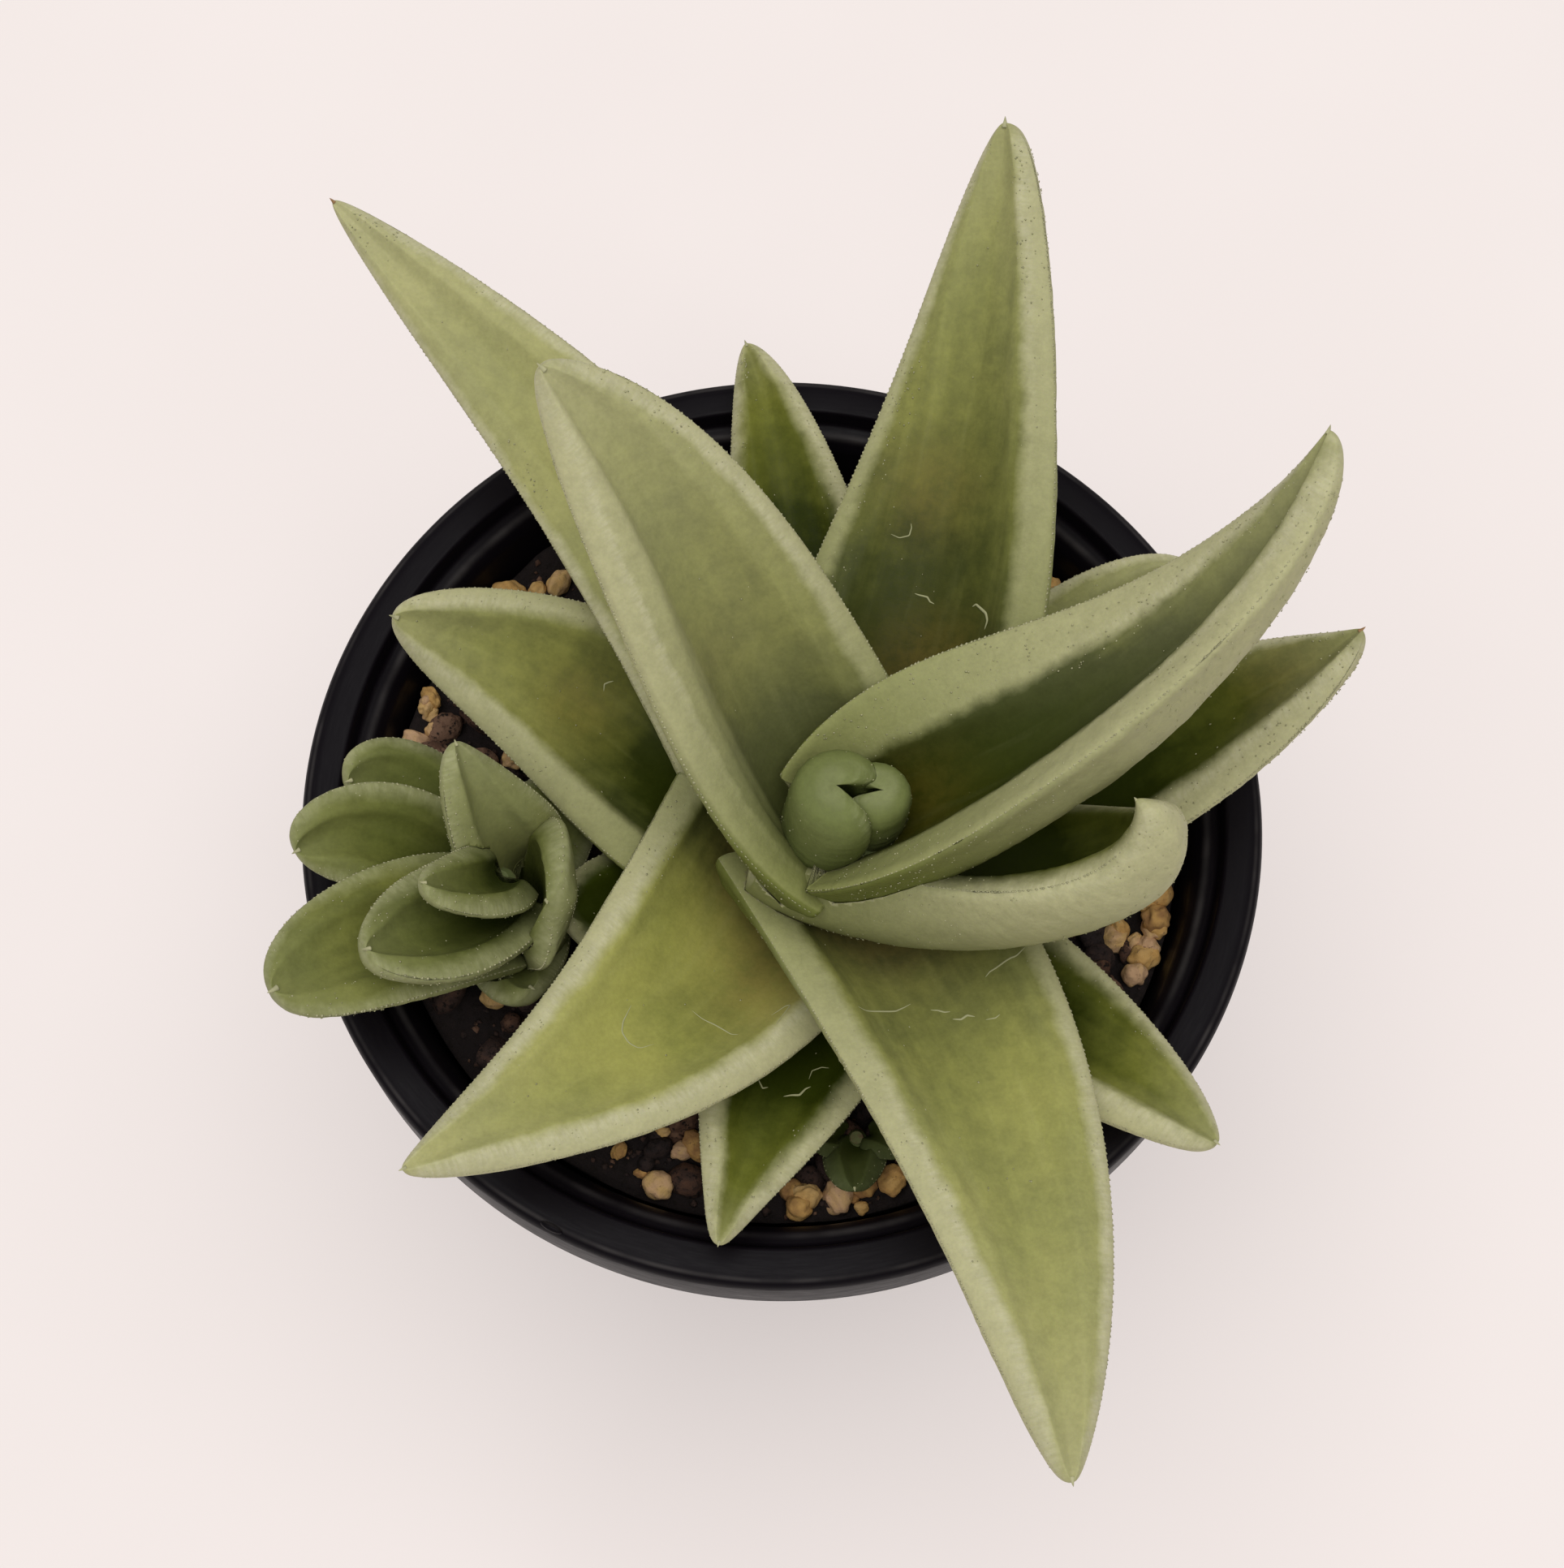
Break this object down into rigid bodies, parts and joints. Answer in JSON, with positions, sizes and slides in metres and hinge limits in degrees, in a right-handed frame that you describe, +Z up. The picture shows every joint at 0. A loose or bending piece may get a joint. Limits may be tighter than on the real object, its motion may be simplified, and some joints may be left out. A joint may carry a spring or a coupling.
{
  "type": "potted gasteraloe",
  "caption": "Fleshy rosette succulent with tapered, channelled leaves, a small offset and a sprout, in a round black nursery pot of gritty soil.",
  "frame": {"origin": "centre of the pot's flat bottom", "axes": "+Z up out of the pot, +X to the right and +Y away from the viewer as the plant is seen in the picture"},
  "size_m": [0.0959, 0.1175, 0.125],
  "materials": {
    "pot": "slightly glossy black polypropylene",
    "soil": "damp, gritty, dark brown",
    "stem": "matt, fleshy",
    "leaf": "waxy green with pale rough margins",
    "bud_leaf": "waxy pale green",
    "offset_leaf": "waxy dark green with pale margins",
    "sprout_leaf": "waxy blue-green"
  },
  "bodies": {
    "root": {"pot": "pot", "soil": "soil", "stem": "stem", "offset_stem": "stem", "sprout_stem": "stem", "bud_leaf_1": "bud_leaf", "bud_leaf_2": "bud_leaf", "leaf_1": "leaf", "leaf_2": "leaf", "leaf_3": "leaf", "leaf_4": "leaf", "leaf_5": "leaf", "leaf_6": "leaf", "leaf_7": "leaf", "leaf_8": "leaf", "leaf_9": "leaf", "leaf_10": "leaf", "leaf_11": "leaf", "leaf_12": "leaf", "leaf_13": "leaf", "leaf_14": "leaf", "offset_leaf_1": "offset_leaf", "offset_leaf_2": "offset_leaf", "offset_leaf_3": "offset_leaf", "offset_leaf_4": "offset_leaf", "offset_leaf_5": "offset_leaf", "offset_leaf_6": "offset_leaf", "offset_leaf_7": "offset_leaf", "offset_leaf_8": "offset_leaf", "offset_leaf_9": "offset_leaf", "sprout_leaf_1": "sprout_leaf", "sprout_leaf_2": "sprout_leaf", "sprout_leaf_3": "sprout_leaf"}
  },
  "joints": []
}
